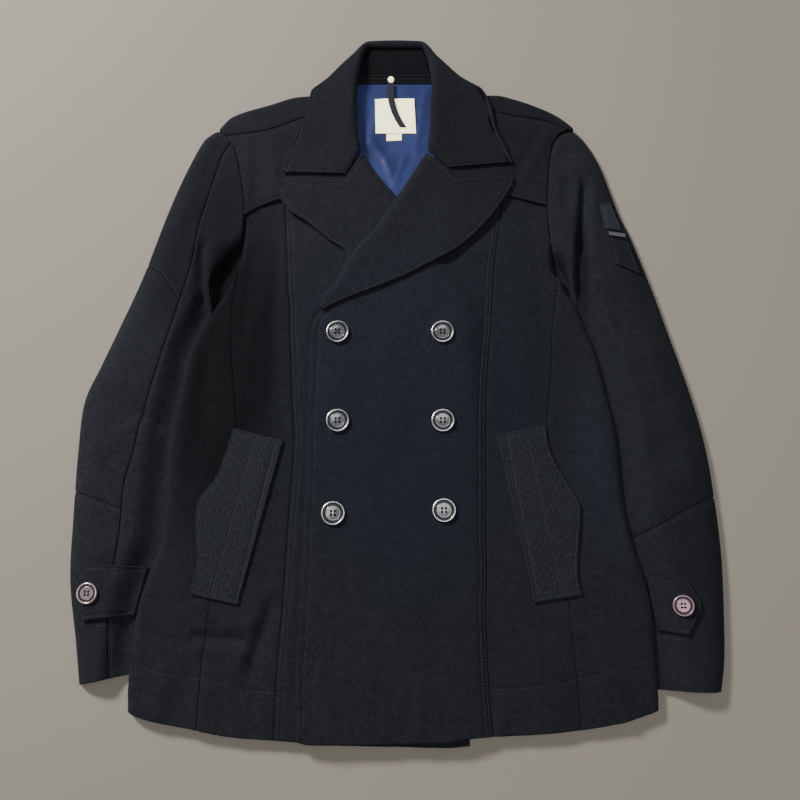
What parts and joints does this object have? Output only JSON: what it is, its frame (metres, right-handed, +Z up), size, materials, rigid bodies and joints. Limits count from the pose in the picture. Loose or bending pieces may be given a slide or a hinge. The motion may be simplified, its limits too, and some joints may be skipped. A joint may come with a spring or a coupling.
{
  "type": "pea coat",
  "caption": "Double-breasted wool pea coat laid flat and face up, fronts closed one over the other, wide collar and lapels, slanted welt pockets and tabbed cuffs.",
  "frame": {"origin": "middle of the coat's bounding box, on the surface it lies on", "axes": "+Y from the hem to the collar, +X to the wearer's left (the viewer's right), +Z up from the surface"},
  "size_m": [0.685, 0.8028, 0.0239],
  "materials": {
    "wool": "matt brushed wool melton",
    "pocket_cloth": "ribbed twill",
    "lining": "satin",
    "label": "woven",
    "loop_tape": "woven tape",
    "button": "gloss with a bright rim",
    "cuff_button": "gloss",
    "metal": "polished"
  },
  "bodies": {
    "root": {"back": "wool", "back_lining": "lining", "front_right_side": "wool", "front_right_middle": "wool", "front_right_centre": "wool", "front_left_centre": "wool", "front_left_middle": "wool", "front_left_side": "wool", "yoke_right": "wool", "yoke_left": "wool", "shoulder_right": "wool", "shoulder_left": "wool", "lapel_right": "wool", "lapel_left": "wool", "collar": "wool", "collar_stand": "wool", "sleeve_right_forearm": "wool", "sleeve_right_elbow": "wool", "sleeve_right_upper_arm": "wool", "sleeve_right_inner": "wool", "sleeve_right_under": "wool", "sleeve_left_forearm": "wool", "sleeve_left_upper": "wool", "sleeve_left_under": "wool", "cuff_tab_right": "wool", "cuff_tab_left": "wool", "sleeve_badge": "pocket_cloth", "sleeve_pocket": "wool", "sleeve_bar": "metal", "cuff_button_right": "cuff_button", "cuff_button_left": "cuff_button", "pocket_right": "pocket_cloth", "pocket_left": "pocket_cloth", "button_right_1": "button", "button_right_2": "button", "button_right_3": "button", "button_left_1": "button", "button_left_2": "button", "button_left_3": "button", "neck_label": "label", "size_tab": "label", "hanger_loop": "loop_tape", "loop_dot": "label"}
  },
  "joints": []
}
